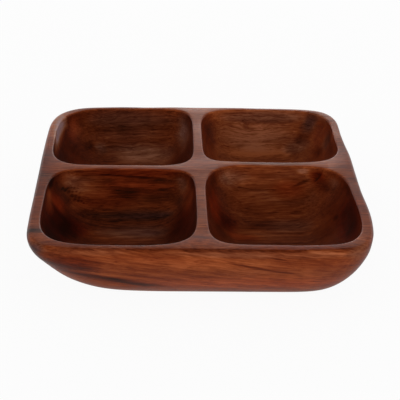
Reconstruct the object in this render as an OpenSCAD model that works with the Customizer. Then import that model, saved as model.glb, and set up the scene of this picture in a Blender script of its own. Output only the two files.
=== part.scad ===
// Square serving bowl of dark hardwood with four pockets, for nuts, dips or snacks.
// It is carved by hand from eight staves that are glued edge to edge, with the grain along X.
// Millimetres, +Z up. The origin is the middle of the bowl on the table, and -Y is the front.

/* [Bowl] */
// Width over the rim, along the grain
bowl_w = 300; // [280:1:340]
// Depth over the rim, front to back
bowl_d = 300; // [280:1:340]
// Height of the rim above the table
bowl_h = 60; // [52:1:80]
// Rounding of the rim's outer edge
rim_round = 3.5; // [1:0.5:4]

/* [Underside] */
// How far the flat underside lies inside the rim on the left
base_left_inset = 54; // [30:1:58]
// How far it lies inside the rim on the right
base_right_inset = 33; // [28:1:58]
// How far it lies inside the rim in front
base_front_inset = 31; // [28:1:50]
// How far it lies inside the rim at the back
base_back_inset = 34; // [28:1:50]

/* [Rim] */
// Rim to the left of the back left pocket
rim_left_back_w = 9.3; // [7:0.1:14]
// Rim to the left of the front left pocket
rim_left_front_w = 10.6; // [7:0.1:14]
// Rim to the right of the back right pocket
rim_right_back_w = 9.2; // [7:0.1:14]
// Rim to the right of the front right pocket
rim_right_front_w = 10.1; // [7:0.1:14]
// Rim in front of the front left pocket
rim_front_left_w = 9; // [7:0.1:14]
// Rim in front of the front right pocket
rim_front_right_w = 11; // [7:0.1:14]
// Rim behind the back pockets
rim_back_w = 7.7; // [7:0.1:14]

/* [Dividers] */
// Divider between the left and the right pockets
divider_w = 9.4; // [6:0.1:16]
// How far its middle lies to the right of the bowl's middle
divider_shift = 1.2; // [-4:0.1:4]
// Left half of the cross divider, between the two left pockets
cross_left_w = 9.6; // [6:0.1:16]
// How far its middle lies behind the bowl's middle
cross_left_shift = 3; // [-4:0.1:14]
// Right half of the cross divider, between the two right pockets
cross_right_w = 8.5; // [6:0.1:16]
// How far its middle lies behind the bowl's middle
cross_right_shift = 12.3; // [-4:0.1:14]

/* [Pockets] */
// Thickness of wood under the pocket floors
floor_t = 12; // [9:0.5:20]
// How far a pocket wall along the rim leans in, from its edge to the flat of the floor
rim_wall_lean = 42; // [40:1:50]
// How far a pocket wall along a divider leans in
divider_wall_lean = 32; // [20:1:40]
// Rounding of the pocket edges
edge_round = 1.8; // [0.5:0.1:2.4]

/* [Staves] */
// Width of the front stave; the staves between it and the back one share what is left
front_stave_w = 36; // [28:0.5:42]
// Width of the back stave
back_stave_w = 30; // [24:0.5:38]

/* [Hidden] */
NODES = ["stave_1_front", "stave_2", "stave_3", "stave_4", "stave_5", "stave_6", "stave_7", "stave_8_back"];
stave_count = len(NODES);

// Colours of the eight staves, front to back
STAVE_COLOURS = ["#7d4128", "#6d3722", "#5f2f1e", "#74402a", "#63321f", "#84462b", "#6a3a28", "#5c3020"];

// Squareness of each corner: 2 is an ellipse, and a higher one is nearer to a square corner.
// The corners are always in this order: back right, back left, front left, front right.
RIM_CORNERS = [9, 7.5, 10, 9.5];
BASE_CORNERS = [4, 4, 5.5, 9];
FLOOR_CORNERS = [3.2, 3.2, 3.2, 3.2];
BACK_LEFT_CORNERS = [5.8, 3.2, 5, 5.1];
BACK_RIGHT_CORNERS = [3.8, 4.5, 6, 3.8];
FRONT_LEFT_CORNERS = [6.3, 5, 3.8, 4.2];
FRONT_RIGHT_CORNERS = [4, 4.3, 5.9, 4.5];

// Fullness of the curve that a wall follows from its foot up: 1 is straight, and 2 is a quarter ellipse
outer_fullness = 1.48;
pocket_fullness = 1.7;

// Points in each quarter of an outline
outer_steps = 10;
pocket_steps = 8;
// Rings up each wall and round each rounded edge
outer_rings = 6;
pocket_rings = 5;
edge_rings = 2;

// How far the boxes that part the staves run past the bowl
overrun = 1;

// Every box in plan is [left, right, front, back]
rim_box = [-bowl_w / 2, bowl_w / 2, -bowl_d / 2, bowl_d / 2];
base_box = rim_box + [base_left_inset, -base_right_inset, base_front_inset, -base_back_inset];

// Faces of the dividers at the pocket edges
divider_left = divider_shift - divider_w / 2;
divider_right = divider_shift + divider_w / 2;
cross_left_front = cross_left_shift - cross_left_w / 2;
cross_left_back = cross_left_shift + cross_left_w / 2;
cross_right_front = cross_right_shift - cross_right_w / 2;
cross_right_back = cross_right_shift + cross_right_w / 2;

// Each pocket is its box at the rim, how far its walls lean in, and its corners
POCKETS = [
    [[rim_box[0] + rim_left_back_w, divider_left, cross_left_back, rim_box[3] - rim_back_w],
     [rim_wall_lean, -divider_wall_lean, divider_wall_lean, -rim_wall_lean],
     BACK_LEFT_CORNERS],
    [[divider_right, rim_box[1] - rim_right_back_w, cross_right_back, rim_box[3] - rim_back_w],
     [divider_wall_lean, -rim_wall_lean, divider_wall_lean, -rim_wall_lean],
     BACK_RIGHT_CORNERS],
    [[rim_box[0] + rim_left_front_w, divider_left, rim_box[2] + rim_front_left_w, cross_left_front],
     [rim_wall_lean, -divider_wall_lean, rim_wall_lean, -divider_wall_lean],
     FRONT_LEFT_CORNERS],
    [[divider_right, rim_box[1] - rim_right_front_w, rim_box[2] + rim_front_right_w, cross_right_front],
     [divider_wall_lean, -rim_wall_lean, rim_wall_lean, -divider_wall_lean],
     FRONT_RIGHT_CORNERS]
];

// Glued joints between the staves, front to back
stave_w = (bowl_d - front_stave_w - back_stave_w) / (stave_count - 2);
seams = [for (k = [0 : stave_count - 2]) rim_box[2] + front_stave_w + k * stave_w];

// A box grown by d on every side
function grown(box, d) = box + [-d, d, -d, d];

// A blend of two lists: the first at share 0, the second at share 1
function blend(a, b, share) = a + (b - a) * share;

// A power that keeps its sign, for a curve that runs through all four quarters
function signed_pow(v, e) = sign(v) * pow(abs(v), e);

// A closed level outline in a box whose four corners each have their own squareness
function outline(box, corners, steps, z) =
    let (mx = (box[0] + box[1]) / 2, my = (box[2] + box[3]) / 2)
    let (hx = (box[1] - box[0]) / 2, hy = (box[3] - box[2]) / 2)
    [for (quarter = [0 : 3], k = [0 : steps - 1])
        let (angle = 90 * (quarter + k / steps), e = 2 / corners[quarter])
        [mx + hx * signed_pow(cos(angle), e), my + hy * signed_pow(sin(angle), e), z]];

// The curve of a wall, level at its foot and upright at its top: its height and its reach, as shares
function rise_share(angle, fullness) = 1 - pow(cos(angle), 2 / fullness);
function reach_share(angle, fullness) = pow(sin(angle), 2 / fullness);

// A closed solid through a list of rings, from the lowest to the highest
module loft(rings) {
    n = len(rings[0]);
    count = len(rings);
    points = [for (ring = rings) each ring];
    sides = [for (j = [0 : count - 2], k = [0 : n - 1])
        let (a = j * n + k, b = j * n + (k + 1) % n)
        each [[a, a + n, b + n], [a, b + n, b]]];
    bottom = [for (k = [0 : n - 1]) k];
    top = [for (k = [n - 1 : -1 : 0]) (count - 1) * n + k];
    polyhedron(points, concat([bottom], sides, [top]));
}

// The outside of the bowl: a full curve from the underside up to the rim, which has a rounded edge
module outer_form() {
    wall_top = bowl_h - rim_round;
    wall = [for (k = [0 : outer_rings])
        let (angle = 90 * k / outer_rings, share = reach_share(angle, outer_fullness))
        outline(blend(base_box, rim_box, share), blend(BASE_CORNERS, RIM_CORNERS, share),
                outer_steps, wall_top * rise_share(angle, outer_fullness))];
    edge = [for (k = [1 : edge_rings])
        let (angle = 90 * k / edge_rings)
        outline(grown(rim_box, -rim_round * (1 - cos(angle))), RIM_CORNERS,
                outer_steps, wall_top + rim_round * sin(angle))];
    loft(concat(wall, edge));
}

// The hollow of a pocket: a flat floor, a curved wall, and an edge that rolls out over the rim
module pocket_form(box, leans, corners) {
    wall_top = bowl_h - edge_round;
    wall = [for (k = [0 : pocket_rings])
        let (angle = 90 * k / pocket_rings, share = reach_share(angle, pocket_fullness))
        outline(blend(box + leans, box, share), blend(FLOOR_CORNERS, corners, share),
                pocket_steps, floor_t + (wall_top - floor_t) * rise_share(angle, pocket_fullness))];
    edge = [for (k = [1 : edge_rings - 1])
        let (angle = 90 * k / edge_rings)
        outline(grown(box, edge_round * (1 - cos(angle))), corners,
                pocket_steps, wall_top + edge_round * sin(angle))];
    // The last ring is as far above the rim as the one before it is below, so the edge ends in the rim
    last = 90 * (edge_rings - 1) / edge_rings;
    above = outline(grown(box, edge_round * (1 + cos(last))), corners,
                    pocket_steps, bowl_h + edge_round * (1 - sin(last)));
    loft(concat(wall, edge, [above]));
}

// One stave of the bowl, from the joint in front of it to the joint behind it
module stave(k) {
    front = k == 0 ? rim_box[2] - overrun : seams[k - 1];
    back = k == stave_count - 1 ? rim_box[3] + overrun : seams[k];
    difference() {
        intersection() {
            outer_form();
            translate([rim_box[0] - overrun, front, -overrun])
                cube([bowl_w + 2 * overrun, back - front, bowl_h + 2 * overrun]);
        }
        for (pocket = POCKETS) {
            cut = grown(pocket[0], edge_round);
            if (cut[2] < back && cut[3] > front) pocket_form(pocket[0], pocket[1], pocket[2]);
        }
    }
}

module stave_1_front() color(STAVE_COLOURS[0]) stave(0);
module stave_2() color(STAVE_COLOURS[1]) stave(1);
module stave_3() color(STAVE_COLOURS[2]) stave(2);
module stave_4() color(STAVE_COLOURS[3]) stave(3);
module stave_5() color(STAVE_COLOURS[4]) stave(4);
module stave_6() color(STAVE_COLOURS[5]) stave(5);
module stave_7() color(STAVE_COLOURS[6]) stave(6);
module stave_8_back() color(STAVE_COLOURS[7]) stave(7);

stave_1_front();
stave_2();
stave_3();
stave_4();
stave_5();
stave_6();
stave_7();
stave_8_back();
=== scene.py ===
import math
from itertools import chain

import bmesh
import bpy
import numpy as np
from mathutils import Euler, Matrix, Vector, noise
from mathutils.geometry import delaunay_2d_cdt


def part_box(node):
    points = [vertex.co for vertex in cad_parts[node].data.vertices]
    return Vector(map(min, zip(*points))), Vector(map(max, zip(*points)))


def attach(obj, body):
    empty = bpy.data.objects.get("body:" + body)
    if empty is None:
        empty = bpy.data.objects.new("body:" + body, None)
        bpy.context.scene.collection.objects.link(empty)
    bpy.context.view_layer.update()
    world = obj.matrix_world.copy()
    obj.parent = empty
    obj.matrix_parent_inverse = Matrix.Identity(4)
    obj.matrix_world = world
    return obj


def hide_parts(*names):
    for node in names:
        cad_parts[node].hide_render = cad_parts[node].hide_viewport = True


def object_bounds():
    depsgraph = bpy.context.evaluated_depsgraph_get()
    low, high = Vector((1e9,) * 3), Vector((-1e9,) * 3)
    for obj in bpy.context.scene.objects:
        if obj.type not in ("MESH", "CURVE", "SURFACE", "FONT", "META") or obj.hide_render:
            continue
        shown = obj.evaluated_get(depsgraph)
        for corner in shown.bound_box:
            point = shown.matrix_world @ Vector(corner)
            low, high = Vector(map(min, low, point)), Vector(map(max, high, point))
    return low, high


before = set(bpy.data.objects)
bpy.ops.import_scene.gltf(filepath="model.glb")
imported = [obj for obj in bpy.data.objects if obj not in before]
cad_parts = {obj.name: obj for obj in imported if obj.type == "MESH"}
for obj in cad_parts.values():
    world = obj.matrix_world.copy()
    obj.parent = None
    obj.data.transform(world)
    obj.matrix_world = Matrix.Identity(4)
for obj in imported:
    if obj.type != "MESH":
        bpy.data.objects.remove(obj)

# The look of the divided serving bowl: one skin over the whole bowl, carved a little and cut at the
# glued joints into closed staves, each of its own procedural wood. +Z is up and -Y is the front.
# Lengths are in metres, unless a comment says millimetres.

CAD_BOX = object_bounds()
MM = 0.001
STAVES = sorted(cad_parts)

# Sizes of the bowl. Its outline, its height and the joints between its staves come from the frame.
# Every box in plan is [left, right, front, back].
RIM_BOX = np.array([CAD_BOX[0].x, CAD_BOX[1].x, CAD_BOX[0].y, CAD_BOX[1].y])
BOWL_H = CAD_BOX[1].z
SEAMS = [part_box(name)[1].y for name in STAVES[:-1]]
BASE_INSETS = np.array([54, -33, 31, -34]) * MM
BASE_BOX = RIM_BOX + BASE_INSETS
FLOOR_T = 12 * MM
RIM_ROUND = 3.5 * MM
EDGE_ROUND = 1.8 * MM

# Width of the rim beside each pocket
RIM_LEFT_BACK_W = 9.3 * MM
RIM_LEFT_FRONT_W = 10.6 * MM
RIM_RIGHT_BACK_W = 9.2 * MM
RIM_RIGHT_FRONT_W = 10.1 * MM
RIM_FRONT_LEFT_W = 9 * MM
RIM_FRONT_RIGHT_W = 11 * MM
RIM_BACK_W = 7.7 * MM

# Faces of the ridge from front to back, and of the left and right halves of the ridge across
DIVIDER_LEFT = -3.5 * MM
DIVIDER_RIGHT = 5.9 * MM
CROSS_LEFT_FRONT = -1.8 * MM
CROSS_LEFT_BACK = 7.8 * MM
CROSS_RIGHT_FRONT = 8.05 * MM
CROSS_RIGHT_BACK = 16.55 * MM

# How far a pocket wall leans in, from its edge to the flat of the floor
RIM_LEAN = 42 * MM
DIVIDER_LEAN = 32 * MM

# Fullness of the curve that a wall follows: 1 is straight, and 2 is a quarter ellipse
OUTER_FULLNESS = 1.48
POCKET_FULLNESS = 1.7

# Squareness of each corner, in the order back right, back left, front left, front right
RIM_CORNERS = np.array([9, 7.5, 10, 9.5])
BASE_CORNERS = np.array([4, 4, 5.5, 9])
FLOOR_CORNERS = np.array([3.2, 3.2, 3.2, 3.2])

# Each pocket is its box at the rim, how far its walls lean in, its corners, and how much painted
# shade darkens it
POCKETS = [
    (np.array([RIM_BOX[0] + RIM_LEFT_BACK_W, DIVIDER_LEFT,
               CROSS_LEFT_BACK, RIM_BOX[3] - RIM_BACK_W]),
     np.array([RIM_LEAN, -DIVIDER_LEAN, DIVIDER_LEAN, -RIM_LEAN]),
     np.array([5.8, 3.2, 5, 5.1]), 0.3),
    (np.array([DIVIDER_RIGHT, RIM_BOX[1] - RIM_RIGHT_BACK_W,
               CROSS_RIGHT_BACK, RIM_BOX[3] - RIM_BACK_W]),
     np.array([DIVIDER_LEAN, -RIM_LEAN, DIVIDER_LEAN, -RIM_LEAN]),
     np.array([3.8, 4.5, 6, 3.8]), 0.04),
    (np.array([RIM_BOX[0] + RIM_LEFT_FRONT_W, DIVIDER_LEFT,
               RIM_BOX[2] + RIM_FRONT_LEFT_W, CROSS_LEFT_FRONT]),
     np.array([RIM_LEAN, -DIVIDER_LEAN, RIM_LEAN, -DIVIDER_LEAN]),
     np.array([6.3, 5, 3.8, 4.2]), 0.28),
    (np.array([DIVIDER_RIGHT, RIM_BOX[1] - RIM_RIGHT_FRONT_W,
               RIM_BOX[2] + RIM_FRONT_RIGHT_W, CROSS_RIGHT_FRONT]),
     np.array([DIVIDER_LEAN, -RIM_LEAN, RIM_LEAN, -DIVIDER_LEAN]),
     np.array([4, 4.3, 5.9, 4.5]), 0.12),
]

# Fineness of the meshes: points in each quarter of an outline, and rings up a wall, over a rounded
# edge and from the middle of a flat out to its border
OUTER_STEPS = 128
POCKET_STEPS = 64
WALL_RINGS = 30
EDGE_RINGS = 6
FLAT_RINGS = 14
# A point this near to a cut counts as on it, and one this near to a joint is drawn onto it
WELD = 0.002 * MM
SNAP = 0.05 * MM
# Points this near to each other are one where a region is filled with triangles, in metres
FILL_WELD = 1e-9

# What each point of the skin carries: 1 inside a pocket, how much painted shade darkens the
# pocket, and how worn an edge is
LAYERS = ["inside", "shade", "wear"]
RIM_WEAR = 0.5
POCKET_WEAR = 1.0

# Camera, fitted to the outlines of the rim and the pockets
FRAME_PX = 400
FOCAL_PX = 1106.1
SENSOR = 36.0
CLIP = (0.01, 20)
CAMERA_AT = Vector((-35.6, -936.4, 532.1)) * MM
CAMERA_YAW = math.radians(2.333)
CAMERA_PITCH = math.radians(28.343)
CAMERA_ROLL = math.radians(1.613)

# Colours of the wood, from its darkest tone to its palest
TONES = [
    (0.0, (0.010, 0.0014, 0.0006)),
    (0.2, (0.040, 0.0052, 0.0014)),
    (0.4, (0.085, 0.0125, 0.0032)),
    (0.6, (0.150, 0.0265, 0.0068)),
    (0.8, (0.235, 0.0510, 0.0135)),
    (1.0, (0.36, 0.092, 0.028)),
]

# The wood's colour is multiplied by these where its hue is 1, greyish, and where it is -1, deep
# red, and once more where it is 2 or -2. Greyish also makes the painted sheens pale.
GREYISH = (0.9, 1.4, 2.6, 1)
DEEP_RED = (1.0, 0.72, 0.6, 1)

# Where the bowl was carved a little off its true form, in millimetres: the middle of each place,
# how far it reaches along each axis, and how far the surface is moved there
CARVED = [
    ((0, 160, 62), (900, 90, 70), (0, -0.9, -0.8)),
    ((-95, 160, 62), (75, 70, 60), (0, -0.6, -0.4)),
    ((-140, 135, 60), (36, 36, 45), (0.8, -0.8, 0)),
    ((160, 78, 55), (80, 42, 50), (-1.7, 0, 0)),
    ((160, -80, 55), (80, 42, 50), (1.5, 0, 0)),
    ((155, -133, 60), (60, 20, 14), (-1.2, 0, 0)),
    ((-140, -138, 51), (45, 40, 15), (-0.9, -0.9, 0)),
    ((-118, -137, 30), (50, 40, 15), (0.9, 0.9, 0)),
    ((-75, -131, 10), (45, 40, 12), (-0.4, -0.7, 0)),
]
# Waves that the tools left all over, in millimetres: how far apart they are and how high
WAVE_LENGTH = 34
WAVE_HEIGHT = 0.45
# Carving and waves fade out from this height, in millimetres, down to the flat underside
FLAT_BELOW = 6

# The boards, front to back, in millimetres:
# - tone: how pale the wood is; figure: the strength of its grain, where it isn't 1
# - pith: the middle of the growth rings, as y and z; lean: how far it moves along these for each
#   millimetre along X; ring: the width of a ring
# - wander and ripple: how far slow and quick noise bend the rings, ripple where it isn't 1
# - swirls: the middle of each, its radii, and how far it lifts the rings
WOOD = [
    dict(tone=0.73, pith=(-150, -40), lean=(0, -0.16), ring=4.5, wander=16, figure=0.85, seed=1),
    dict(tone=0.7, pith=(-330, 30), lean=(0.02, 0), ring=5, wander=12, seed=2),
    dict(tone=0.7, pith=(-300, 30), lean=(0.03, 0.02), ring=5, wander=12, seed=3),
    dict(tone=0.7, pith=(-290, 60), lean=(0.02, 0.03), ring=4, wander=12, seed=4),
    dict(tone=0.72, pith=(330, 0), lean=(0.03, 0.03), ring=4, wander=12, seed=5),
    dict(tone=0.78, pith=(0, -190), lean=(0, 0.03), ring=5, wander=12, seed=6),
    dict(tone=0.8, pith=(110, -60), lean=(0.02, 0.02), ring=3.5, wander=10, ripple=2.5, seed=7),
    dict(tone=0.77, pith=(110, -90), lean=(0, 0.02), ring=3.2, wander=10, ripple=4, seed=8,
         swirls=[((62, 134, 36), (36, 14, 14), 5), ((-95, 138, 50), (30, 14, 12), 4)]),
]

# Marks of darker and paler tone, in millimetres: the middle, the radii, how much it changes the
# tone, and its turn in degrees about X, Y and Z. Most are the wood's own; some are painted shade
# or painted highlights, as noted.
MARKS = [
    # Rims and ridges. The first two darken the left and right rims: painted shade.
    ((-156, 0, 62), (28, 175, 8), -0.34),
    ((156, 0, 62), (28, 175, 8), -0.19),
    ((70, 13, 61), (50, 6, 4), -0.1),
    ((-138, -141, 57), (14, 10, 5), -0.18),
    ((118, -143, 61), (24, 12, 5), -0.12),
    ((136, -143, 54), (16, 14, 12), 0.08),
    ((-75, -140, 62), (110, 14, 4.5), -0.24),
    ((75, -140, 62), (110, 14, 4.5), -0.12),
    ((-144, -119, 60), (16, 7, 8), -0.5),
    ((-143, -16, 60), (15, 7, 8), -0.16),
    ((2, -128, 61), (24, 4, 5), -0.22, (0, 0, -10)),
    ((0, 8, 61), (60, 5, 4), -0.08),
    ((-150, 80, 62), (16, 60, 8), 0.2),
    ((150, 112, 62), (14, 50, 8), 0.08),
    # Front face, with painted shade as a dark line along its upper edge, where it rounds over into the
    # rim
    ((0, -149, 59.4), (200, 4, 2.6), -0.26),
    ((0, -149, 44), (85, 8, 16), 0.14),
    ((30, -140, 18), (110, 16, 14), 0.12),
    ((20, -150, 55.5), (220, 5, 4), 0.04),
    # Painted highlight: a pale line along the rounded upper edge, at the right
    ((106, -149, 57.6), (34, 6, 1.8), 0.3, (0, 3, 0)),
    ((50, -147, 40.5), (48, 8, 2.2), -0.34, (0, 14.5, 0)),
    ((61, -149, 52), (14, 6, 1.6), -0.3, (0, 14, 0)),
    ((-116, -143, 44), (42, 16, 18), -0.39),
    ((-146, -140, 46), (14, 22, 16), -0.22),
    ((-90, -140, 27), (38, 12, 5), -0.42, (0, 9, 0)),
    ((-54, -136.5, 19), (42, 12, 4), -0.46, (0, 12, 0)),
    ((95, -136, 20), (40, 16, 12), 0.08),
    # Front left pocket: its dark corner, its dark band, the streaks of its back wall, and pale spots
    ((-130, -80, 32), (22, 34, 22), -0.16),
    ((-137, -44, 47), (13, 28, 13), 0.34),
    ((-10, -26, 41), (12, 28, 18), 0.3),
    ((-60, -20, 20), (84, 7, 8), -0.26),
    ((-119, -50, 24), (32, 24, 12), -0.22),
    ((-113, -21, 29), (18, 12, 8), 0.24),
    ((-24, -20, 27), (12, 12, 8), 0.1),
    ((-137, -38, 51), (8, 12, 10), 0.24),
    ((-55, -2, 56), (80, 6, 6), -0.08),
    ((-62, -3.5, 52), (50, 6, 1.8), -0.38, (0, 3, 0)),
    ((-38, -5, 48.5), (22, 6, 2.6), -0.3),
    ((-68, -8, 36.5), (17, 7, 6.5), -0.3),
    ((-55, -5, 44), (44, 6, 4), 0.3),
    ((-80, -10, 32), (40, 9, 10), 0.04),
    ((-103, -8, 41), (26, 10, 11), 0.4),
    ((-122, -8, 51), (17, 9, 9), 0.34),
    ((-128, -29, 38), (17, 14, 12), 0.4),
    ((-118, -12.5, 37.5), (15, 9, 8), 0.12, (0, 38, 0)),
    ((-138, -24, 56), (7, 12, 6), -0.3),
    # Painted sheen at the top of the right wall
    ((-15, -8, 48), (9, 14, 11), 0.12),
    ((-80, -25, 16), (9, 3, 3), -0.2),
    ((-68, -45, 12), (54, 22, 6), 0.26),
    # Front right pocket
    ((70, 4, 50), (60, 8, 9), -0.18),
    ((115, 4, 51), (11, 8, 8), -0.3),
    # Painted sheen at the top left of the back wall
    ((27, 3.4, 53), (14, 8, 7), 0.24),
    ((38, 3, 46), (26, 8, 10), 0.16),
    ((125, -4, 44), (20, 14, 9), -0.12),
    ((10, -4, 50), (8, 16, 12), -0.14),
    ((60, -6, 26), (44, 12, 14), 0.1),
    ((99, 4, 44), (12, 6, 2.6), -0.38, (0, -28, 0)),
    ((102, 7, 55), (11, 6, 5), 0.34),
    # Painted sheen at the top of the right wall, near the back
    ((127, -6, 50), (12, 12, 8), 0.14),
    ((138, -30, 54), (6, 16, 6), -0.16),
    ((97, -12, 20), (11, 4, 3.5), -0.24),
    ((57, -23, 12.5), (17, 4, 3), -0.16),
    ((119, 0, 45), (18, 14, 12), -0.16),
    ((50, -28, 13), (24, 12, 5), 0.12),
    ((17, -28, 34), (12, 28, 18), 0.28),
    ((28, -30, 19), (14, 18, 11), -0.16),
    ((60, -45, 12), (50, 14, 6), 0.2),
    ((105, -30, 24), (30, 20, 12), 0.1),
    ((127, -40, 31), (7, 6, 5), -0.26),
    ((136, -70, 44), (14, 40, 22), -0.27),
    # Back left pocket
    ((-80, 139, 51), (70, 8, 9), -0.1),
    ((-72, 134, 38), (60, 10, 10), -0.1),
    ((-54, 113, 17), (48, 22, 12), 0.42),
    ((-127, 121, 43), (9, 24, 16), 0.32),
    # Painted sheen: a pale band along the top of the left wall
    ((-139, 90, 54), (10, 54, 14), 0.76),
    ((-111, 118, 27), (9, 12, 10), -0.28),
    ((-98, 119, 23), (9, 14, 8), 0.14),
    # Painted highlight: a tall pale patch on the right wall
    ((-12, 116, 41), (10, 38, 24), 0.28),
    ((-40, 139.5, 47.5), (12, 5, 3), 0.18),
    # Back right pocket: a dark band that runs down its right wall, between two orange ones
    ((123, 135, 54), (11, 12, 11), -0.32),
    ((119, 131, 43), (11, 12, 10), -0.26, (0, 20, 0)),
    ((114, 126, 33), (9, 12, 12), -0.34, (0, 50, 0)),
    ((104, 120, 24), (8, 12, 11), -0.16, (0, 62, 0)),
    ((96, 118, 20), (10, 12, 7), 0.18),
    ((139, 97, 47), (6, 14, 12), -0.28),
    ((137, 74, 43), (10, 30, 15), -0.1),
    ((129, 100, 30), (6, 14, 10), -0.24, (0, 35, 0)),
    ((59, 137, 41), (9, 6, 4), -0.22),
    ((70, 141, 51), (80, 8, 10), -0.14),
    ((60, 132, 36), (50, 20, 14), 0.2),
    ((66, 120, 22), (44, 16, 10), 0.34),
    ((17, 122, 40), (13, 26, 20), -0.24),
]

# Stains of another hue and painted sheens, in the same form: above 0 it turns greyish, and below
# 0 deep red. Some of them tint painted shade, as noted.
STAINS_AND_SHEENS = [
    # Rims, the ridge from front to back, and front face. The first two make the painted shade on the
    # left and right rims deep red.
    ((-156, 0, 62), (28, 175, 8), -0.5),
    ((156, 0, 62), (28, 175, 8), -0.4),
    ((-108, -146, 45), (26, 16, 11), -0.8),
    ((-146, -140, 46), (16, 22, 16), 1.6),
    ((-138, -141, 56), (16, 12, 6), 2),
    ((40, -136, 20), (170, 22, 18), -0.9),
    ((-95, -148, 57), (60, 8, 6), 0.35),
    ((-40, -150, 52), (90, 8, 12), -0.3),
    ((60, -150, 56), (180, 6, 6), 0.5),
    ((134, -143, 56), (20, 16, 12), 1),
    ((-40, -140, 62), (120, 13, 4), -0.1),
    ((80, -140, 62), (90, 13, 5), -1.1),
    ((2, -134, 61), (34, 12, 5), -0.3),
    ((0, 18, 61), (26, 32, 4), -0.35),
    ((-144, -119, 60), (16, 7, 8), 1),
    ((-143, -16, 60), (15, 8, 8), 0.6),
    ((-54, -136.5, 19), (42, 12, 4), 0.7, (0, 12, 0)),
    # Front left pocket
    ((-130, -74, 34), (24, 40, 28), -1.9),
    ((-131, -30, 38), (17, 18, 15), -1.6),
    ((-112, -42, 19), (28, 18, 11), -1.6),
    ((-88, -14, 32), (42, 12, 12), -1.2),
    ((-8, -60, 38), (16, 44, 30), -0.8),
    ((-50, -20, 20), (74, 7, 9), 1.5),
    ((-60, -5, 44), (66, 10, 14), -1.4),
    ((-68, -8, 36), (18, 8, 8), -0.8),
    ((-55, -2, 56), (90, 7, 7), -1.4),
    ((-106, -8, 46), (30, 12, 12), 0.6),
    ((-122, -8, 51), (16, 9, 9), 0.3),
    ((-138, -24, 56), (7, 12, 6), 1.4),
    # Painted sheen at the top of the right wall, greyish
    ((-15, -8, 48), (9, 14, 11), 1.3),
    ((-55, -38, 12), (60, 16, 8), 1.3),
    # Front right pocket
    # Painted sheen at the top left of the back wall, greyish
    ((31, 3.2, 50), (28, 8, 12), 0.8),
    ((102, 7, 55.4), (9, 5, 4), 0.7),
    ((115, 4, 51), (12, 8, 8), -2),
    ((119, 0, 45), (18, 14, 12), -1.2),
    ((89, 2, 38), (24, 12, 14), -1.5),
    # Painted sheen at the top of the right wall, greyish
    ((128, -7, 49), (13, 13, 9), 1.1),
    ((136, -70, 42), (16, 44, 26), -2.3),
    ((15, -30, 34), (14, 34, 22), -1.8),
    ((30, -30, 18), (16, 20, 10), -1.2),
    ((36, -46, 12), (30, 12, 7), -1.4),
    ((85, -26, 14), (36, 14, 8), 0.7),
    # Back left pocket
    ((-75, 139, 48), (70, 12, 14), 1.2),
    ((-58, 116, 20), (56, 24, 14), 1),
    ((-70, 132, 34), (60, 14, 10), 0.5),
    ((-127, 121, 43), (9, 24, 18), -0.6),
    # Painted sheen along the top of the left wall, greyish
    ((-139, 88, 55), (10, 54, 13), 2.6),
    ((-99, 119, 23), (10, 14, 9), 0.9),
    # Painted highlight on the right wall, greyish
    ((-12, 118, 43), (11, 42, 27), 1.8),
    # Back right pocket
    ((122, 132, 49), (12, 12, 18), 1.6, (0, 15, 0)),
    ((134, 125, 58), (12, 18, 8), 1),
    ((109, 122, 27), (12, 12, 22), 0.8, (0, 60, 0)),
    ((129, 115, 37), (6, 14, 15), -0.3, (0, 25, 0)),
    ((137, 98, 44), (8, 18, 16), 1.4, (0, 10, 0)),
    ((65, 132, 36), (64, 24, 28), 0.6),
    ((75, 141, 52), (80, 8, 9), 0.8),
    # Right rim, and the right half of the ridge across
    ((152, 60, 62), (14, 80, 8), -0.2),
    ((70, 14, 61), (50, 7, 4), 1.5),
]
# Marks, stains and sheens, swirls and dots are at full strength within this share of their radii
FULL_SHARE = 0.2
# Marks, stains and sheens are frayed by up to this much past their radii, in millimetres
FRAY_MARGIN = 3

# Dark dots of the knot in the front left pocket, in millimetres: where each one is along X and up,
# and how big it is along X. All of them lie this far back, reach this far along Y, are this flat
# and change the tone by this much.
KNOT_Y = -12
KNOT_REACH = 9
KNOT_FLATNESS = 0.7
KNOT_TONE = -0.32
KNOT = [
    (-127.6, 44.5, 2.2), (-125, 42.6, 3.2), (-122.2, 43.4, 2.4), (-119.6, 43.2, 2),
    (-116.9, 42.7, 2.2), (-113.6, 41.8, 1.8), (-121.8, 40.2, 2.8), (-118.6, 39.8, 2.4),
    (-115, 39.2, 2.2), (-111.8, 37.6, 1.8), (-119.2, 36.7, 3), (-115.8, 35.9, 2.6),
    (-112.2, 34.4, 2.4), (-116.6, 33.2, 2.8), (-113.2, 31.7, 2.6), (-110.2, 30.9, 2.2),
    (-108.2, 29.4, 1.6),
]

# Noise that the wood is made of: its turns per millimetre along X, Y and Z, its detail, and its
# roughness where it isn't 0.5. The first three bend the rings.
WANDER_NOISE = ((0.005, 0.018, 0.018), 1)
QUICK_WANDER_NOISE = ((0.022, 0.09, 0.09), 2)
RIPPLE_NOISE = ((0.07, 0.06, 0.06), 1)
BLOTCH_NOISE = ((0.012, 0.035, 0.035), 2)
MOTTLE_NOISE = ((0.05, 0.12, 0.12), 3)
STREAK_NOISE = ((0.012, 0.27, 0.27), 3, 0.6)
FIBRE_NOISE = ((0.05, 0.8, 0.8), 2, 0.7)
FLECK_NOISE = ((0.1, 0.45, 0.6), 2)
PORE_NOISE = ((0.13, 1.5, 1.5), 1)
HUE_NOISE = ((0.009, 0.03, 0.03), 2)
FRAY_NOISE = ((0.014, 0.11, 0.11), 3)
# The same without the turns, for noise from ring to ring and between belts of so many rings
RING_NOISE = (2, 0.7)
BELT_NOISE = (1,)
BELT_RINGS = 6
# How far the quick noise bends the rings, as a share of how far the slow noise does
QUICK_WANDER_SHARE = 0.22
# How far fraying moves marks and stains along X, Y and Z
FRAY_REACH = (12, 4, 4)
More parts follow.
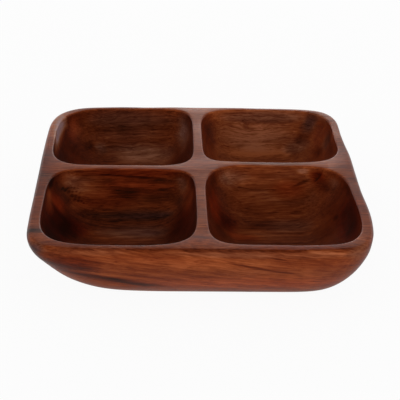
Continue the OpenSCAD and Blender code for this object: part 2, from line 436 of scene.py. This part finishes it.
# How far apart the noise of two boards lies, in millimetres
SEED_STEP = (731, 97, 53)
# Nearly all noise lies in the first span. Over the other two, it rises into a fleck and a pore.
NOISE_SPAN = (0.25, 0.75)
FLECK_SPAN = (0.56, 0.68)
PORE_SPAN = (0.6, 0.7)

# How far each part of the figure moves the tone either way, how much a fleck and a pore change
# it, how far blotches move it either way, and how much a worn edge changes it
FIGURE = dict(rings=0.1, belts=0.08, mottle=0.1, streaks=0.11, fibres=0.21)
FLECK_TONE = -0.14
PORE_TONE = -0.1
BLOTCH_TONE = 0.1
WEAR_TONE = 0.04
# The hairline of glue at a joint: its reach in millimetres and its tone
SEAM_REACH = 0.4
SEAM_TONE = -0.06
# End grain sets in over this span of how far the surface faces along the grain, from 0 to 1. It
# changes the tone and the hue. Over the other span the figure fades to this strength.
END_SPAN = (0.3, 0.95)
END_TONE = -0.22
END_HUE = -0.5
FADE_SPAN = (0.08, 0.6)
END_FIGURE = 0.55
# Sanding has calmed the rims, from this far below their top, in millimetres. This share of the
# figure is left there, and as it goes, fibres move the tone either way by this much instead.
CALM_DEPTH = 2.5
CALM_SHARE = 0.6
CALM_FIBRES = 0.4
# How far noise moves the hue either way
HUE_SWING = 0.4

# The relief of the grain: the height of each part of it, and how strong and deep all of it is
RELIEF = dict(fibres=0.5, rings=0.35, pores=-0.5)
BUMP_STRENGTH = 0.35
BUMP_DEPTH = 0.2 * MM
# The oil is this rough from fibre to fibre, and rougher or smoother by these in a pore, inside a
# pocket and on a worn edge. Its gloss is weak and warm.
FIBRE_ROUGHNESS = (0.26, 0.4)
PORE_ROUGHNESS = 0.15
POCKET_ROUGHNESS = 0.06
WEAR_ROUGHNESS = -0.06
SPECULAR = 0.12
SPECULAR_TINT = (1.0, 0.35, 0.12, 1)

# Light of the studio: its walls end between these two elevations, and the ceiling begins
WALL_TOP = (math.radians(19), math.radians(29))
WALL_LIGHT = 1.5
CEILING_LIGHT = 0.5
# The floor reaches this far from the middle, in metres
FLOOR_REACH = 3.0
FLOOR_PAINT = (0.9, 0.9, 0.9, 1)
# How much of the floor's look is plain white, to the camera and in the bowl's gloss. The rest
# keeps its shadow.
FLOOR_WHITE = 0.94
MIRRORED_WHITE = 0.4

# Each lamp is its place, its width and height, and its power in watts. All of them look at the bowl.
LAMPS = {
    "front_lamp": ((-0.1, -1.6, 0.15), (1.4, 0.25), 3.0),
    "back_lamp": ((0.16, 1.25, 0.36), (0.5, 0.25), 1.0),
}
LOOK_AT = (0, 0, 0.04)


def grown(box, d):
    """A box grown by d on every side."""
    return box + np.array([-d, d, -d, d])


def blend(a, b, share):
    """The first value at share 0, and the second at share 1."""
    return a + (b - a) * share


def outline(box, corners, steps, z):
    """A closed level outline in a box whose four corners each have their own squareness."""
    # Each point lies halfway through its step, so that no two quarters share one
    turn = (np.arange(4 * steps) + 0.5) / steps
    e = np.asarray(corners)[turn.astype(int)]
    angle = turn * math.pi / 2
    c, s = np.abs(np.cos(angle)), np.abs(np.sin(angle))
    reach = (c ** e + s ** e) ** (-1 / e)
    x = (box[0] + box[1]) / 2 + (box[1] - box[0]) / 2 * np.sign(np.cos(angle)) * c * reach
    y = (box[2] + box[3]) / 2 + (box[3] - box[2]) / 2 * np.sign(np.sin(angle)) * s * reach
    return np.column_stack([x, y, np.full(len(x), z)])


def rise_share(angle, fullness):
    """How high a wall has risen at an angle of its curve, as a share."""
    return 1 - math.cos(angle) ** (2 / fullness)


def reach_share(angle, fullness):
    """How far out it has reached there, as a share."""
    return math.sin(angle) ** (2 / fullness)


def quarter_angles(count):
    """Angles that divide a quarter turn, from 0 to its end."""
    return [math.pi / 2 * k / count for k in range(count + 1)]


def flat_rings(ring):
    """Rings that close a flat outline towards its middle."""
    middle = ring.mean(axis=0)
    return [middle + (ring - middle) * k / FLAT_RINGS for k in range(1, FLAT_RINGS)]


def outer_rings():
    """The outside of the bowl, from the middle of the underside out and up to the top of the
    rim's edge."""
    wall_top = BOWL_H - RIM_ROUND
    wall = []
    for angle in quarter_angles(WALL_RINGS):
        share = reach_share(angle, OUTER_FULLNESS)
        wall.append(outline(blend(BASE_BOX, RIM_BOX, share), blend(BASE_CORNERS, RIM_CORNERS, share),
                            OUTER_STEPS, wall_top * rise_share(angle, OUTER_FULLNESS)))
    edge = [outline(grown(RIM_BOX, -RIM_ROUND * (1 - math.cos(angle))), RIM_CORNERS,
                    OUTER_STEPS, wall_top + RIM_ROUND * math.sin(angle))
            for angle in quarter_angles(EDGE_RINGS)[1:]]
    return flat_rings(wall[0]) + wall + edge


def pocket_rings(box, leans, corners):
    """A pocket, from the middle of its floor out and up to where its rolled edge meets the rim."""
    wall_top = BOWL_H - EDGE_ROUND
    wall = []
    for angle in quarter_angles(WALL_RINGS):
        share = reach_share(angle, POCKET_FULLNESS)
        height = FLOOR_T + (wall_top - FLOOR_T) * rise_share(angle, POCKET_FULLNESS)
        wall.append(outline(blend(box + leans, box, share), blend(FLOOR_CORNERS, corners, share),
                            POCKET_STEPS, height))
    edge = [outline(grown(box, EDGE_ROUND * (1 - math.cos(angle))), corners,
                    POCKET_STEPS, wall_top + EDGE_ROUND * math.sin(angle))
            for angle in quarter_angles(EDGE_RINGS)[1:]]
    return flat_rings(wall[0]) + wall + edge


def add_loft(bm, rings, inside, shade, wear):
    """A skin over rings that run out from a middle point. Its faces look down, or up where it is a
    pocket. Its last rings are a rounded edge, which is worn most halfway over."""
    layers = [bm.verts.layers.float[name] for name in LAYERS]
    rows = []
    for k, ring in enumerate([[rings[0].mean(axis=0)]] + rings):
        over = max(k - (len(rings) - EDGE_RINGS), 0) / EDGE_RINGS
        values = (inside * (1 - over), shade * (1 - over), wear * math.sin(math.pi * over))
        row = [bm.verts.new(point) for point in ring]
        for vert in row:
            for layer, value in zip(layers, values):
                vert[layer] = value
        rows.append(row)
    middle = rows.pop(0)[0]
    count = len(rows[0])
    for k in range(count):
        after = (k + 1) % count
        corners = [middle, rows[0][k], rows[0][after]]
        bm.faces.new(corners if inside else corners[::-1])
    for low, high in zip(rows, rows[1:]):
        for k in range(count):
            after = (k + 1) % count
            corners = [low[k], high[k], high[after], low[after]]
            bm.faces.new(corners if inside else corners[::-1])
    return rows[-1]


def fill_between(bm, lines, axes):
    """Triangles over the region that an odd number of closed outlines runs round, such as a rim
    round its pockets."""
    known = list({vert: None for line in lines for vert in line})
    index = {vert: k for k, vert in enumerate(known)}
    points = [Vector((getattr(vert.co, axes[0]), getattr(vert.co, axes[1]))) for vert in known]
    ends = [(index[a], index[b]) for a, b in lines]
    _, _, found, source, _, _ = delaunay_2d_cdt(points, ends, [], 0, FILL_WELD)
    triangles = [[source[k][0] for k in face] for face in found]
    sides = [[frozenset(pair) for pair in closed_loop(t)] for t in triangles]
    owners = {}
    for k, three in enumerate(sides):
        for side in three:
            owners.setdefault(side, []).append(k)
    borders = {frozenset(pair) for pair in ends}
    # From the outside in, each outline that is crossed changes whether a triangle is covered
    covered = {}
    for side, beside in owners.items():
        if len(beside) == 1:
            covered[beside[0]] = side in borders
    waiting = list(covered)
    while waiting:
        k = waiting.pop()
        for side in sides[k]:
            for other in owners[side]:
                if other not in covered:
                    covered[other] = covered[k] != (side in borders)
                    waiting.append(other)
    return [bm.faces.new([known[k] for k in t]) for n, t in enumerate(triangles) if covered[n]]


def closed_loop(corners):
    """Each corner with the next one, and the last with the first."""
    return list(zip(corners, corners[1:] + corners[:1]))


def whole_bowl():
    """The skin of the whole bowl, welded along its edges."""
    bm = bmesh.new()
    for name in LAYERS:
        bm.verts.layers.float.new(name)
    edges = [add_loft(bm, outer_rings(), 0.0, 0.0, RIM_WEAR)]
    for box, leans, corners, shade in POCKETS:
        edges.append(add_loft(bm, pocket_rings(box, leans, corners), 1.0, shade, POCKET_WEAR))
    fill_between(bm, [line for edge in edges for line in closed_loop(edge)], "xy")
    bm.normal_update()
    carve(bm)
    bm.normal_update()
    return bm


def carve(bm):
    """Moves the skin a little, as carving by hand does, and draws points that lie close to a joint
    onto it."""
    for vert in bm.verts:
        at = vert.co / MM
        lift = min(max(at.z / FLAT_BELOW, 0), 1)
        move = vert.normal * WAVE_HEIGHT * noise.noise(at / WAVE_LENGTH)
        for middle, reach, shift in CARVED:
            share = 1.0
            for a, m, r in zip(at, middle, reach):
                share *= max(1 - ((a - m) / r) ** 2, 0) ** 2
            move += Vector(shift) * share
        vert.co += move * lift * MM
        for seam in SEAMS:
            if abs(vert.co.y - seam) < SNAP:
                vert.co.y = seam


def cut_into_staves(bm):
    """Cuts the skin at the glued joints and caps the cuts, so that each stave is closed."""
    for seam in SEAMS:
        bmesh.ops.bisect_plane(bm, geom=bm.verts[:] + bm.edges[:] + bm.faces[:], dist=WELD,
                               plane_co=(0, seam, 0), plane_no=(0, 1, 0))
    bm.normal_update()
    bm.verts.index_update()
    bounds = [RIM_BOX[2]] + SEAMS + [RIM_BOX[3]]
    faces_of = [[] for _ in STAVES]
    for face in bm.faces:
        y = face.calc_center_median().y
        faces_of[min(max(int(np.searchsorted(bounds, y)) - 1, 0), len(STAVES) - 1)].append(face)
    layers = [bm.verts.layers.float[name] for name in LAYERS]
    return [make_stave(name, faces, layers, bounds[k], bounds[k + 1])
            for k, (name, faces) in enumerate(zip(STAVES, faces_of))]


def make_stave(name, faces, old_layers, front, back):
    """One closed stave. The skin keeps the normals of the whole bowl, so that no joint shows as a
    crease."""
    bm = bmesh.new()
    layers = [bm.verts.layers.float.new(layer) for layer in LAYERS]
    copy, normals = {}, []
    for face in faces:
        for vert in face.verts:
            if vert.index not in copy:
                new = bm.verts.new(vert.co)
                for layer, old in zip(layers, old_layers):
                    new[layer] = vert[old]
                copy[vert.index] = new
                normals.append(vert.normal.copy())
        bm.faces.new([copy[vert.index] for vert in face.verts])
    bm.faces.ensure_lookup_table()
    skin = len(bm.faces)
    for y, outward in ((front, -1), (back, 1)):
        cut = [tuple(e.verts) for e in bm.edges
               if len(e.link_faces) == 1 and all(abs(v.co.y - y) < 2 * WELD for v in e.verts)]
        for face in fill_between(bm, cut, "xz") if cut else []:
            face.normal_update()
            if face.normal.y * outward < 0:
                face.normal_flip()
    open_edges = sum(1 for e in bm.edges if len(e.link_faces) != 2)
    if open_edges:
        raise RuntimeError(f"{name} has {open_edges} edges that don't join two faces")
    mesh = bpy.data.meshes.new(name + "_wood")
    bm.to_mesh(mesh)
    bm.free()
    loop_normals = []
    for face in mesh.polygons:
        face.use_smooth = True
        for vert in face.vertices:
            loop_normals.append(normals[vert] if face.index < skin else face.normal.copy())
    mesh.normals_split_custom_set(loop_normals)
    piece = bpy.data.objects.new(name + "_wood", mesh)
    bpy.context.scene.collection.objects.link(piece)
    return piece


class Graph:
    """Short ways to add nodes to a tree and to link them. An input may be a socket, a number or a
    tuple."""

    def __init__(self, tree):
        self.tree = tree

    def add(self, kind, **settings):
        """A new node with these settings."""
        node = self.tree.nodes.new("ShaderNode" + kind)
        for name, value in settings.items():
            setattr(node, name, value)
        return node

    def link(self, value, socket):
        """Links an input to a socket, or sets it to a value. None leaves it as it is."""
        if isinstance(value, bpy.types.NodeSocket):
            self.tree.links.new(value, socket)
        elif value is not None:
            socket.default_value = value

    def math(self, operation, a, b=None):
        """The result of one operation on numbers."""
        node = self.add("Math", operation=operation)
        self.link(a, node.inputs[0])
        self.link(b, node.inputs[1])
        return node.outputs[0]

    def vector(self, operation, a, b=None, c=None):
        """The result of one operation on vectors."""
        node = self.add("VectorMath", operation=operation)
        for value, socket in zip((a, b, c), node.inputs):
            self.link(value, socket)
        return node.outputs["Value" if operation in ("LENGTH", "DOT_PRODUCT") else "Vector"]

    def parts(self, vector):
        """A vector's X, Y and Z."""
        node = self.add("SeparateXYZ")
        self.link(vector, node.inputs[0])
        return node.outputs

    def combined(self, x, y, z):
        """A vector from its X, Y and Z."""
        node = self.add("CombineXYZ")
        for value, socket in zip((x, y, z), node.inputs):
            self.link(value, socket)
        return node.outputs[0]

    def map_range(self, value, from_min, from_max, to_min=0.0, to_max=1.0, kind="LINEAR"):
        """A value taken from one range to another, and held at the ends of it."""
        node = self.add("MapRange", interpolation_type=kind)
        for k, number in enumerate((value, from_min, from_max, to_min, to_max)):
            self.link(number, node.inputs[k])
        return node.outputs[0]

    def swing(self, value, reach, middle=0.0):
        """Noise taken to values up to this far either way from a middle."""
        return self.map_range(value, *NOISE_SPAN, middle - reach, middle + reach)

    def tinted(self, share, colour, tint):
        """A colour, mixed by this share with the colour times a tint."""
        node = self.add("Mix", data_type="RGBA", blend_type="MULTIPLY")
        # The factor and the sockets for colours, whose names the sockets of other kinds have too
        self.link(share, node.inputs[0])
        self.link(colour, node.inputs[6])
        self.link(tint, node.inputs[7])
        return node.outputs[2]

    def noise(self, vector, scale, detail, roughness=0.5):
        """Smooth noise with its own scale along each axis, in turns per millimetre."""
        node = self.add("TexNoise")
        self.link(self.vector("MULTIPLY", vector, scale), node.inputs["Vector"])
        node.inputs["Scale"].default_value = 1.0
        node.inputs["Detail"].default_value = detail
        node.inputs["Roughness"].default_value = roughness
        return node.outputs

    def noise_line(self, value, detail, roughness=0.5):
        """Smooth noise along a line."""
        node = self.add("TexNoise", noise_dimensions="1D")
        self.link(value, node.inputs["W"])
        node.inputs["Scale"].default_value = 1.0
        node.inputs["Detail"].default_value = detail
        node.inputs["Roughness"].default_value = roughness
        return node.outputs[0]

    def shaken(self, vector, noise, reach):
        """A place moved by coloured noise, by up to about a third of its reach either way."""
        half = tuple(-value / 2 for value in reach)
        return self.vector("ADD", vector, self.vector("MULTIPLY_ADD", noise["Color"], reach, half))

    def total(self, *groups):
        """The sum of all values. Values of a generator are made one at a time, because the renderer
        can hold only so many nodes that aren't summed yet: a material with more of them turns
        black."""
        result = 0.0
        for value in chain(*groups):
            result = self.math("ADD", result, value)
        return result

    def mark(self, place, centre, radii, strength, turn=(0, 0, 0)):
        """A soft spot of the given strength, round a centre. Its radii are turned by degrees about
        X, Y and Z."""
        away = self.vector("SUBTRACT", place, centre)
        if any(turn):
            axes = Euler([math.radians(angle) for angle in turn]).to_matrix().transposed()
            away = self.combined(*(self.vector("DOT_PRODUCT", away, tuple(axis)) for axis in axes))
        distance = self.vector("LENGTH", self.vector("DIVIDE", away, radii))
        return self.map_range(distance, 1.0, FULL_SHARE, 0.0, strength, "SMOOTHSTEP")


def touches(mark, front, back):
    """Whether a mark reaches into the board between these two places along Y."""
    middle, radii = mark[:2]
    reach = (max(radii) if len(mark) > 3 and mark[3][2] else radii[1]) + FRAY_MARGIN
    return front - reach < middle[1] < back + reach


def bend(graph, stave, place, seeded):
    """Places as the grain has them: bent by slow and by quick noise, lifted in the swirls, and
    leaning against the board."""
    wander = stave["wander"]
    quick = wander * QUICK_WANDER_SHARE
    ripple = stave.get("ripple", 1)
    bent = graph.shaken(place, graph.noise(seeded, *WANDER_NOISE), (0, wander, wander))
    bent = graph.shaken(bent, graph.noise(seeded, *QUICK_WANDER_NOISE), (0, quick, quick))
    bent = graph.shaken(bent, graph.noise(seeded, *RIPPLE_NOISE), (0, ripple, ripple))
    for centre, radii, lift in stave.get("swirls", []):
        lifted = graph.combined(0.0, 0.0, graph.mark(place, centre, radii, lift))
        bent = graph.vector("ADD", bent, lifted)
    lean_y, lean_z = stave["lean"]
    return graph.combined(graph.parts(bent)[0],
                          graph.vector("DOT_PRODUCT", bent, (-lean_y, 1, 0)),
                          graph.vector("DOT_PRODUCT", bent, (-lean_z, 0, 1)))


def make_grain(graph, stave, seeded, bent):
    """What the figure of the wood is made of, with growth rings round a pith that runs along the
    board. Most of it is noise round 0.5. Flecks and pores are 0, and 1 where there is one."""
    across = graph.vector("SUBTRACT", graph.vector("MULTIPLY", bent, (0, 1, 1)), (0, *stave["pith"]))
    radius = graph.vector("LENGTH", across)
    rings = graph.math("DIVIDE", radius, stave["ring"])
    grain = {"rings": graph.noise_line(rings, *RING_NOISE)}
    belts = graph.math("DIVIDE", radius, stave["ring"] * BELT_RINGS)
    grain["belts"] = graph.noise_line(belts, *BELT_NOISE)
    grain["blotches"] = graph.noise(seeded, *BLOTCH_NOISE)[0]
    grain["mottle"] = graph.noise(bent, *MOTTLE_NOISE)[0]
    grain["streaks"] = graph.noise(bent, *STREAK_NOISE)[0]
    grain["fibres"] = graph.noise(bent, *FIBRE_NOISE)[0]
    for name, kind, span in (("flecks", FLECK_NOISE, FLECK_SPAN), ("pores", PORE_NOISE, PORE_SPAN)):
        grain[name] = graph.map_range(graph.noise(bent, *kind)[0], *span, kind="SMOOTHSTEP")
    return grain


def make_ramp(graph, tone):
    """The colour of a tone."""
    ramp = graph.add("ValToRGB")
    graph.link(tone, ramp.inputs[0])
    stops = ramp.color_ramp.elements
    for at, colour in TONES:
        # A new ramp already has the stops at its two ends
        there = [stop for stop in stops if stop.position == at]
        stop = there[0] if there else stops.new(at)
        stop.color = (*colour, 1)
    return ramp.outputs[0]


def wood_material(name, stave, front, back):
    """Oiled hardwood. A tone from 0, nearly black, to 1, pale orange, is made up of the grain,
    marks, wear and the painted shade of the pockets, and a ramp turns it into colour. Some marks and
    stains are painted shade, highlights and sheens. Places are in millimetres."""
    material = bpy.data.materials.new(name)
    material.use_nodes = True
    graph = Graph(material.node_tree)
    coordinates = graph.add("TexCoord").outputs
    place = graph.vector("MULTIPLY", coordinates["Object"], (1 / MM,) * 3)
    seeded = graph.vector("ADD", place, tuple(stave["seed"] * step for step in SEED_STEP))
    grain = make_grain(graph, stave, seeded, bend(graph, stave, place, seeded))

    facing = graph.math("ABSOLUTE", graph.parts(coordinates["Normal"])[0])
    ends = graph.map_range(facing, *END_SPAN, kind="SMOOTHSTEP")
    depth = graph.parts(place)[1]
    seams = [graph.map_range(graph.math("ABSOLUTE", graph.math("SUBTRACT", depth, y)),
                             0.0, SEAM_REACH, SEAM_TONE, 0.0) for y in (front, back)]
    inside, shade, wear = [graph.add("Attribute", attribute_name=name).outputs["Fac"]
                           for name in LAYERS]

    frayed = graph.shaken(place, graph.noise(seeded, *FRAY_NOISE), FRAY_REACH)
    # Marks and stains, some of them painted shade, highlights and sheens
    marks = (graph.mark(frayed, *mark) for mark in MARKS if touches(mark, front, back))
    stains_and_sheens = (graph.mark(frayed, *stain_or_sheen) for stain_or_sheen in STAINS_AND_SHEENS if touches(stain_or_sheen, front, back))
    dots = (graph.mark(place, (x, KNOT_Y, z), (size, KNOT_REACH, size * KNOT_FLATNESS), KNOT_TONE)
            for x, z, size in KNOT if front < KNOT_Y < back)
    figure = graph.total([
        *(graph.swing(grain[kind], reach) for kind, reach in FIGURE.items()),
        graph.math("MULTIPLY", grain["flecks"], FLECK_TONE),
        graph.math("MULTIPLY", grain["pores"], PORE_TONE)])
    height = graph.parts(place)[2]
    calm = graph.map_range(height, BOWL_H / MM - CALM_DEPTH, BOWL_H / MM, 1.0, CALM_SHARE)
    tone = graph.total([
        graph.math("MULTIPLY", graph.math("MULTIPLY", figure, calm),
                   graph.map_range(facing, *FADE_SPAN, stave.get("figure", 1.0), END_FIGURE)),
        graph.math("MULTIPLY", graph.math("SUBTRACT", 1.0, calm),
                   graph.swing(grain["fibres"], CALM_FIBRES)),
        graph.swing(grain["blotches"], BLOTCH_TONE, stave["tone"]),
        graph.math("MULTIPLY", ends, END_TONE),
        # Painted shade in the pockets, darker in some pockets than in others
        graph.math("MULTIPLY", shade, -1.0),
        graph.math("MULTIPLY", wear, WEAR_TONE)], seams, marks, dots)

    colour = make_ramp(graph, tone)
    hue = graph.total([
        graph.swing(graph.noise(seeded, *HUE_NOISE)[1], HUE_SWING),
        graph.math("MULTIPLY", ends, END_HUE)], stains_and_sheens)
    for tint, way in ((GREYISH, 1.0), (DEEP_RED, -1.0)):
        for step in (0.0, way):
            colour = graph.tinted(graph.map_range(hue, step, step + way), colour, tint)

    shader = material.node_tree.nodes["Principled BSDF"]
    graph.link(colour, shader.inputs["Base Color"])
    relief = graph.total([graph.math("MULTIPLY", grain[kind], share) for kind, share in RELIEF.items()])
    bump = graph.add("Bump")
    bump.inputs["Strength"].default_value = BUMP_STRENGTH
    bump.inputs["Distance"].default_value = BUMP_DEPTH
    graph.link(relief, bump.inputs["Height"])
    graph.link(bump.outputs[0], shader.inputs["Normal"])
    roughness = graph.total([
        graph.map_range(grain["fibres"], *NOISE_SPAN, *FIBRE_ROUGHNESS),
        graph.math("MULTIPLY", grain["pores"], PORE_ROUGHNESS),
        graph.math("MULTIPLY", inside, POCKET_ROUGHNESS),
        graph.math("MULTIPLY", wear, WEAR_ROUGHNESS)])
    graph.link(roughness, shader.inputs["Roughness"])
    shader.inputs["Specular IOR Level"].default_value = SPECULAR
    shader.inputs["Specular Tint"].default_value = SPECULAR_TINT
    return material


def make_camera():
    """The photo's camera, from its place, its yaw, pitch and roll, and its focal length."""
    data = bpy.data.cameras.new("camera")
    data.sensor_width = SENSOR
    data.lens = FOCAL_PX / FRAME_PX * SENSOR
    data.clip_start, data.clip_end = CLIP
    camera = bpy.data.objects.new("camera", data)
    bpy.context.scene.collection.objects.link(camera)
    ahead = Vector((math.sin(CAMERA_YAW) * math.cos(CAMERA_PITCH),
                    math.cos(CAMERA_YAW) * math.cos(CAMERA_PITCH), -math.sin(CAMERA_PITCH)))
    level = Vector((math.cos(CAMERA_YAW), -math.sin(CAMERA_YAW), 0))
    lifted = level.cross(ahead)
    right = math.cos(CAMERA_ROLL) * level + math.sin(CAMERA_ROLL) * lifted
    up = -math.sin(CAMERA_ROLL) * level + math.cos(CAMERA_ROLL) * lifted
    turn = Matrix((right, up, -ahead)).transposed()
    camera.matrix_world = Matrix.Translation(CAMERA_AT) @ turn.to_4x4()
    bpy.context.scene.camera = camera


def make_world():
    """A white studio: bright walls up to about 25 degrees above the bowl, and a dimmer ceiling."""
    world = bpy.data.worlds.new("studio")
    world.use_nodes = True
    bpy.context.scene.world = world
    graph = Graph(world.node_tree)
    up = graph.parts(graph.add("TexCoord").outputs["Generated"])[2]
    level = graph.map_range(up, math.sin(WALL_TOP[0]), math.sin(WALL_TOP[1]),
                            WALL_LIGHT, CEILING_LIGHT, "SMOOTHSTEP")
    background = world.node_tree.nodes["Background"]
    graph.link(level, background.inputs["Strength"])
    background.inputs["Color"].default_value = (1, 1, 1, 1)


def make_floor():
    """A pale floor. What sees it directly or mirrored finds it nearly white, with a faint shadow."""
    mesh = bpy.data.meshes.new("floor")
    corners = [(FLOOR_REACH * x, FLOOR_REACH * y, 0) for x, y in ((-1, -1), (1, -1), (1, 1), (-1, 1))]
    mesh.from_pydata(corners, [], [(0, 1, 2, 3)])
    floor = bpy.data.objects.new("floor", mesh)
    bpy.context.scene.collection.objects.link(floor)
    material = bpy.data.materials.new("floor")
    material.use_nodes = True
    graph = Graph(material.node_tree)
    paint = material.node_tree.nodes["Principled BSDF"]
    paint.inputs["Base Color"].default_value = FLOOR_PAINT
    paint.inputs["Roughness"].default_value = 1.0
    paint.inputs["Specular IOR Level"].default_value = 0.0
    white = graph.add("Emission")
    path = graph.add("LightPath")
    seen = graph.math("MAXIMUM", path.outputs["Is Camera Ray"], path.outputs["Is Transmission Ray"])
    seen = graph.math("MULTIPLY", seen, FLOOR_WHITE)
    mirrored = graph.math("MULTIPLY", path.outputs["Is Glossy Ray"], MIRRORED_WHITE)
    mix = graph.add("MixShader")
    graph.link(graph.math("MAXIMUM", seen, mirrored), mix.inputs[0])
    graph.link(paint.outputs[0], mix.inputs[1])
    graph.link(white.outputs[0], mix.inputs[2])
    graph.link(mix.outputs[0], material.node_tree.nodes["Material Output"].inputs["Surface"])
    mesh.materials.append(material)


def make_lamps():
    """Soft rectangular lamps that no camera sees."""
    for name, (at, size, power) in LAMPS.items():
        data = bpy.data.lights.new(name, "AREA")
        data.shape = "RECTANGLE"
        data.size, data.size_y = size
        data.energy = power
        lamp = bpy.data.objects.new(name, data)
        lamp.visible_camera = False
        bpy.context.scene.collection.objects.link(lamp)
        aim = Vector(LOOK_AT) - Vector(at)
        lamp.matrix_world = Matrix.Translation(at) @ aim.to_track_quat("-Z", "Y").to_matrix().to_4x4()


make_camera()
make_world()
make_floor()
make_lamps()
bpy.context.scene.view_settings.view_transform = "Standard"
# Where each board begins and ends along Y, in millimetres. The outer two lie far from the bowl, so
# that no glue shows on its outside.
joints = [seam / MM for seam in [2 * RIM_BOX[2]] + SEAMS + [2 * RIM_BOX[3]]]
for k, (stave, node) in enumerate(zip(cut_into_staves(whole_bowl()), STAVES)):
    stave.data.materials.append(wood_material(stave.name, WOOD[k], joints[k], joints[k + 1]))
    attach(stave, "root")
    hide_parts(node)
